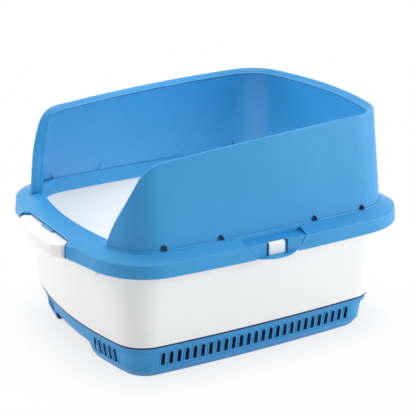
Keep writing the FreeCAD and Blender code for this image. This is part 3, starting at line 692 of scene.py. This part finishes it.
# painted deep shade where the frame shows at the foot of each hood window
finish_faces(rim, PAINTED_DEEP_SHADE, lambda at, way: within(at.z, WINDOW_FOOT) and by_window(at, FOOT_REACH))
finish_piece(rim, nodes["rim_frame"]["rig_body"], "blue_plastic", "rim_frame")

# %% [markdown]
# ## The hood
# The hood is one tall curved wall with a lip that turns inwards. The lip's end hangs in its own
# shade, which the even light of a white room hardly shows. A height alone can't pick that end,
# because the lip sweeps down at the front. So the search starts from the outward edges of the
# lip's underside: the upright faces on them get the deeper finish, and two steps of their upright
# neighbours with them.

# %% Hood
LIP_UNDERSIDE = 318         # the underside is looked for above this height
LIP_SHADE = 324             # and its shade above this one, clear of the bend at the front
WINDOW_HEIGHTS = (208, 219.4)
WINDOW_REACH = 5.4
hood = merged_copy("hood", blue)
below = {key for face in hood.data.polygons for key in face.edge_keys
         if face.normal.z < -0.5 and face.center.z > LIP_UNDERSIDE * MM}
upright = [face for face in hood.data.polygons
           if abs(face.normal.z) < 0.72 and face.center.z > LIP_SHADE * MM]
corners = below & {edge.key for edge in outward_edges(hood.data, 25)}
shaded = set()
for step in range(3):
    for face in upright:
        if corners.intersection(face.edge_keys):
            face.material_index = PAINTED_SHADE
            shaded.add(face)
    corners = {key for face in shaded for key in face.edge_keys} - below
print("the lip's end has", len(shaded), "faces in the shade")
fine_round(hood, 0.4)
# painted deep shade on the hood around its small windows
finish_faces(hood, PAINTED_DEEP_SHADE, lambda at, way: within(at.z, WINDOW_HEIGHTS) and by_window(at, WINDOW_REACH))
finish_piece(hood, "hood", "blue_plastic", "hood")

# %% [markdown]
# ## The tabs behind the windows
# Through each small window at the hood's foot a tab of the frame can be seen, with a shaded gap
# around it. That shade could be a dark plane, but a tab with a shape of its own also holds up from
# the side. One tab is modelled: a block whose top is drawn to a point, leaning with the wall. It is
# copied along the bowed side and mirrored to the other one, and only the face that looks out
# through the window is painted dark, a painted deep shade.

# %% Copies across the middle
def mirrored(piece, across_x, across_y):
    """A copy of a piece, mirrored in place across the middle of the box."""
    alone(piece)
    bpy.ops.object.duplicate()
    bpy.ops.transform.mirror(constraint_axis=(across_x, across_y, False), orient_type="GLOBAL",
                             center_override=(0, 0, 0))
    bpy.ops.object.transform_apply(location=True, rotation=True, scale=True)
    bpy.ops.object.mode_set(mode="EDIT")
    bpy.ops.mesh.select_all(action="SELECT")
    bpy.ops.mesh.normals_make_consistent(inside=False)
    bpy.ops.object.mode_set(mode="OBJECT")
    return bpy.context.object


# %% One tab
SIDE_BOW = 2800             # radius of the bowed long sides
TAB_MIDDLE = 201.1          # how far out a tab would stand on a straight side
TAB_HEIGHT = 214.6
TAB_SIZE = (9.8, 0.8, 9.8)
TAB_LEAN = 1.1
TAB_POINT = 0.5             # width of its top, as a share of its foot


def sag(place):
    """How far the bowed side has come in at a distance from its middle."""
    return SIDE_BOW - math.sqrt(SIDE_BOW ** 2 - place ** 2)


first = -WINDOWS[1]
bpy.ops.object.select_all(action="DESELECT")
bpy.ops.mesh.primitive_cube_add(size=1, scale=[length * MM for length in TAB_SIZE],
                                location=(first * MM, -(TAB_MIDDLE - sag(first)) * MM, TAB_HEIGHT * MM))
bpy.ops.object.transform_apply(location=True, rotation=True, scale=True)
tab = bpy.context.object
tab.name = "window_tab"
give_finishes(tab, blue)
pick(tab, "FACE", lambda face: face.normal.z > 0.9)
bpy.ops.transform.resize(value=(TAB_POINT, 1, 1))
bpy.ops.transform.translate(value=(0, TAB_LEAN * MM, 0))
bpy.ops.object.mode_set(mode="OBJECT")
round_edges(tab, 0.3, lambda end: end.z > TAB_HEIGHT, segments=2)
# painted deep shade on the face that looks out through the window
finish_faces(tab, PAINTED_DEEP_SHADE, lambda at, way: way.y < -0.8)

# %% Tabs along both sides
tabs = [tab]
for place in (-WINDOWS[0], WINDOWS[0], WINDOWS[1]):
    alone(tab)
    bpy.ops.object.duplicate()
    bpy.ops.transform.translate(value=((place - first) * MM, -(sag(first) - sag(place)) * MM, 0))
    bpy.ops.object.transform_apply(location=True, rotation=True, scale=True)
    tabs.append(bpy.context.object)
tabs += [mirrored(copy, False, True) for copy in tabs]
print(len(tabs), "tabs made")
window_tabs = join_all(tabs, "window_tabs")
finish_piece(window_tabs, nodes["rim_frame"]["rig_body"], "blue_plastic")

# %% [markdown]
# ## The latch flaps
# Each flap is an elastic window that hooks under a catch of the tray. The window is a little wider
# than the catch, and beside the catch it looks into a gap between two thin guides, which are painted
# dark as its shade. The CAD window is only widened by moving its upright edges, because a new cut
# could leave slivers. The flap's legs are thin, so its rounds are small, and its window's upright
# walls get the paler finish, a painted highlight.

# %% Flaps
FLAP_WINDOW = 18.3          # half the width of the CAD flap's window
FLAP_WIDENED = 0.3
FLAP_MIDDLE = 20            # the window's walls lie within this, from the middle
FLAP_FRONT, FLAP_ROOT = 228, 200.7      # the front edges lie beyond and below these
for name in ("right_latch_flap", "left_latch_flap"):
    flap = merged_copy(name, blue)
    for side in (-1, 1):
        pick(flap, "VERT", lambda point: abs(point.co.x - side * FLAP_WINDOW * MM) < 0.1 * MM)
        bpy.ops.transform.translate(value=(side * FLAP_WIDENED * MM, 0, 0))
        bpy.ops.object.mode_set(mode="OBJECT")
    round_edges(flap, 0.5, lambda end: abs(end.y) > FLAP_FRONT and end.z < FLAP_ROOT, segments=2)
    fine_round(flap, 0.3)
    # painted highlight on the window's upright walls
    finish_faces(flap, EDGE, lambda at, way: abs(at.x) < FLAP_MIDDLE and abs(way.x) > 0.8)
    finish_piece(flap, nodes[name]["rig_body"], "blue_plastic", name)

# %% [markdown]
# ## The guides beside the catches
# Each guide is a thin upright plate of the frame. Its front edge is painted pale, a painted highlight,
# and the rest of it is painted dark, the painted shade of the gap. Two separate blocks would leave a
# seam, so one block is cut by bisect and its inner strip is extruded forwards. One guide is modelled
# and then mirrored to the other three.

# %% One guide
GUIDE_PLACE = (-16.15, -226.8, 190.2)
GUIDE_SIZE = (4.5, 0.8, 18.9)
GUIDE_CUT = -15.6           # the strip between this and the catch stands forwards
GUIDE_DEPTH = 1.1
GUIDE_FRONT = -227.5        # only the strip's front lies before this
bpy.ops.object.select_all(action="DESELECT")
bpy.ops.mesh.primitive_cube_add(size=1, location=[value * MM for value in GUIDE_PLACE],
                                scale=[length * MM for length in GUIDE_SIZE])
bpy.ops.object.transform_apply(location=True, rotation=True, scale=True)
guide = bpy.context.object
give_finishes(guide, blue)
pick(guide, "FACE", lambda face: True)
bpy.ops.mesh.bisect(plane_co=(GUIDE_CUT * MM, 0, 0), plane_no=(1, 0, 0))
bpy.ops.object.mode_set(mode="OBJECT")
pick(guide, "FACE", lambda face: face.normal.y < -0.9 and face.center.x > GUIDE_CUT * MM)
bpy.ops.mesh.extrude_region_move(TRANSFORM_OT_translate={"value": (0, -GUIDE_DEPTH * MM, 0)})
bpy.ops.object.mode_set(mode="OBJECT")
round_edges(guide, 0.15, lambda end: True, segments=2)
# painted deep shade on the whole guide
finish_faces(guide, PAINTED_DEEP_SHADE, lambda at, way: True)
# painted highlight on the front of the strip
finish_faces(guide, EDGE, lambda at, way: way.y < -0.6 and at.y < GUIDE_FRONT)

# %% Guides at both catches
guides = [guide, mirrored(guide, True, False), mirrored(guide, False, True)]
guides.append(mirrored(guides[1], False, True))
print(len(guides), "guides made")
catch_guides = join_all(guides, "catch_guides")
finish_piece(catch_guides, nodes["rim_frame"]["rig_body"], "blue_plastic")

# %% [markdown]
# ## Floor and backdrop
# The object stands on plain white paper that fades into a white room. Paper lit by lamps alone
# would turn grey towards the edges. So the floor is white to the camera except where the box
# shades it, and an ordinary matt white to every other ray, so it lights the plastic as real paper
# would. Under the stand the paper is painted a dark blue shade, so the air slots look into the
# dark; that painted shade keeps clear of the front arch, through which the white floor is seen.
# Its outline is a rounded oblong: a point lies outside it where its two distances, raised to a
# power and added, pass 1.


# %% Helpers for values and rays
def joined(tree, operation, first, second):
    """Two values put together by a Math node; the second may be a plain number."""
    node = tree.nodes.new("ShaderNodeMath")
    node.operation = operation
    tree.links.new(first, node.inputs[0])
    if isinstance(second, (int, float)):
        node.inputs[1].default_value = second
    else:
        tree.links.new(second, node.inputs[1])
    return node.outputs["Value"]


def seen_directly(tree, path):
    """1 for rays that come from the camera, a mirror or a clear body, else 0."""
    mirror = joined(tree, "MAXIMUM", path.outputs["Is Camera Ray"], path.outputs["Is Glossy Ray"])
    return joined(tree, "MAXIMUM", mirror, path.outputs["Is Transmission Ray"])


# %% The floor's nodes
bpy.ops.object.select_all(action="DESELECT")
bpy.ops.mesh.primitive_plane_add(size=8)
floor = bpy.context.object
floor.name = "paper_floor"
paper = bpy.data.materials.new("white_paper")
paper.use_nodes = True
tree = paper.node_tree
matt = tree.nodes["Principled BSDF"]
matt.inputs["Roughness"].default_value = 0.9
glow = tree.nodes.new("ShaderNodeEmission")
glow.inputs["Strength"].default_value = 1.0
path = tree.nodes.new("ShaderNodeLightPath")
spot = tree.nodes.new("ShaderNodeTexCoord")
apart = tree.nodes.new("ShaderNodeSeparateXYZ")
tree.links.new(spot.outputs["Object"], apart.inputs["Vector"])
print("floor size in m:", tuple(round(side, 2) for side in floor.dimensions))

# %% The painted shade under the stand
SHADE_PATCH_SIZE = (("X", 0.005, 0.220), ("Y", 0.0, 0.170))     # axis, middle and half size, in metres
SHADE_PATCH_POWER = 4.5                                         # 2 would be an ellipse, more is squarer
ARCH_DEPTH, ARCH_SIDE = -0.207, -0.045
reach = []
for axis, middle, half in SHADE_PATCH_SIZE:
    offset = joined(tree, "ABSOLUTE", joined(tree, "SUBTRACT", apart.outputs[axis], middle), 0)
    reach.append(joined(tree, "POWER", joined(tree, "DIVIDE", offset, half), SHADE_PATCH_POWER))
total = joined(tree, "ADD", reach[0], reach[1])
beyond = joined(tree, "GREATER_THAN", total, 1)
in_arch = joined(tree, "MULTIPLY", joined(tree, "LESS_THAN", apart.outputs["X"], ARCH_DEPTH),
                 joined(tree, "GREATER_THAN", apart.outputs["Y"], ARCH_SIDE))
outside = joined(tree, "MAXIMUM", beyond, in_arch)
under = tree.nodes.new("ShaderNodeMix")
under.data_type = "RGBA"
# painted shade: dark blue paper under the stand, plain white paper outside it
under.inputs[6].default_value = (0.03, 0.20, 0.40, 1.0)
under.inputs[7].default_value = (0.9, 0.9, 0.9, 1.0)
tree.links.new(outside, under.inputs["Factor"])
tree.links.new(under.outputs[2], matt.inputs["Base Color"])
# the printed half size is that of the painted shade under the stand
print("mat half size in m:", [half for axis, middle, half in SHADE_PATCH_SIZE])

# %% [markdown]
# ## Where the box touches the paper
# A box on white paper is grounded by the soft grey that gathers at its foot. The lamps leave too
# little of it, because the floor is white to the camera, so the same oblong serves again: near the
# stand less of the camera's white is mixed in, which lets the lamps' own shadow show and also
# paints the paper greyer. Its root tells how many times farther out than the edge of the painted
# shade under the stand a point lies, and the white comes back in two ranges: most of it close to
# the stand, and the last of it slowly.

# %% The shade at the stand's foot
away = joined(tree, "POWER", total, 1 / SHADE_PATCH_POWER)
contact = ranged(tree, away, 1.0, 1.5, 0.74, 0.93)
fading = joined(tree, "ADD", contact, ranged(tree, away, 1.5, 5.0, 0.0, 0.07))
camera_outside = joined(tree, "MULTIPLY", seen_directly(tree, path), outside)
share = joined(tree, "MULTIPLY", camera_outside, fading)
both = tree.nodes.new("ShaderNodeMixShader")
tree.links.new(share, both.inputs["Fac"])
tree.links.new(matt.outputs["BSDF"], both.inputs[1])
tree.links.new(glow.outputs["Emission"], both.inputs[2])
tree.links.new(both.outputs["Shader"], tree.nodes["Material Output"].inputs["Surface"])
floor.data.materials.append(paper)
print("paper has", len(tree.nodes), "nodes")

# %% [markdown]
# ## A white room with one dark side
# The room lights the box from all round, but a photographer keeps the side behind the camera
# darker, so that the corner nearest the lens turns away into shade and the box reads as round. A
# black card could stand there, but its edges would show in the sheen of the plastic. So a dot
# product with the direction of that side gives a soft mask, and the paper white that the camera
# sees behind the box stays apart from it.

# %% White room
DARK_SIDE = (-0.63, -0.74, 0.22)
room = bpy.data.worlds.new("white_room")
bpy.context.scene.world = room
room.use_nodes = True
tree = room.node_tree
path = tree.nodes.new("ShaderNodeLightPath")
around = tree.nodes.new("ShaderNodeTexCoord")
toward = tree.nodes.new("ShaderNodeVectorMath")
toward.operation = "DOT_PRODUCT"
toward.inputs[1].default_value = DARK_SIDE
tree.links.new(around.outputs["Generated"], toward.inputs[0])
fill = ranged(tree, toward.outputs["Value"], 0.0, 0.95, 0.80, 0.24)
paper_white = tree.nodes.new("ShaderNodeMix")
tree.links.new(seen_directly(tree, path), paper_white.inputs[0])
tree.links.new(fill, paper_white.inputs[2])
paper_white.inputs[3].default_value = 1.0
background = tree.nodes["Background"]
background.inputs["Color"].default_value = (1, 1, 1, 1)
tree.links.new(paper_white.outputs[0], background.inputs["Strength"])
print("room's dark side looks along", DARK_SIDE)

# %% [markdown]
# ## Soft boxes
# Three large soft lights do the work of a product studio: one from the front left, one from the
# right rear, and one overhead that lays the pale sheen on top of the frame and the lip. The near
# front corner gets the least, which gives the box its depth. A fourth lamp is small, weak and warm.
# It hangs straight above with a narrow beam, which brightens the floor of the tray and leaves the
# walls alone. Point lamps would be simpler, but they would draw hard shadows.

# %% Lamps
BOX_MIDDLE = Vector((0, 0, 0.2))        # in metres, like the lamps' places and sizes


def softbox(name, place, size, power):
    """An area lamp that looks at the middle of the box."""
    bpy.ops.object.light_add(type="AREA", location=place)
    lamp = bpy.context.object
    lamp.name = name
    lamp.data.shape = "SQUARE"
    lamp.data.size = size
    lamp.data.energy = power
    lamp.rotation_euler = (BOX_MIDDLE - Vector(place)).to_track_quat("-Z", "Y").to_euler()
    print(name, "gives", power, "W")
    return lamp


softbox("left_softbox", (-2.0, 1.9, 0.9), 1.2, 25)
softbox("right_softbox", (2.3, -1.7, 0.8), 1.2, 35)
softbox("top_softbox", (0, 0.2, 2.4), 1.6, 21)
inner = softbox("inner_softbox", (0.03, 0.0, 1.5), 0.2, 0.5)
inner.data.spread = math.radians(13)
inner.data.color = (1.0, 0.95, 0.86)
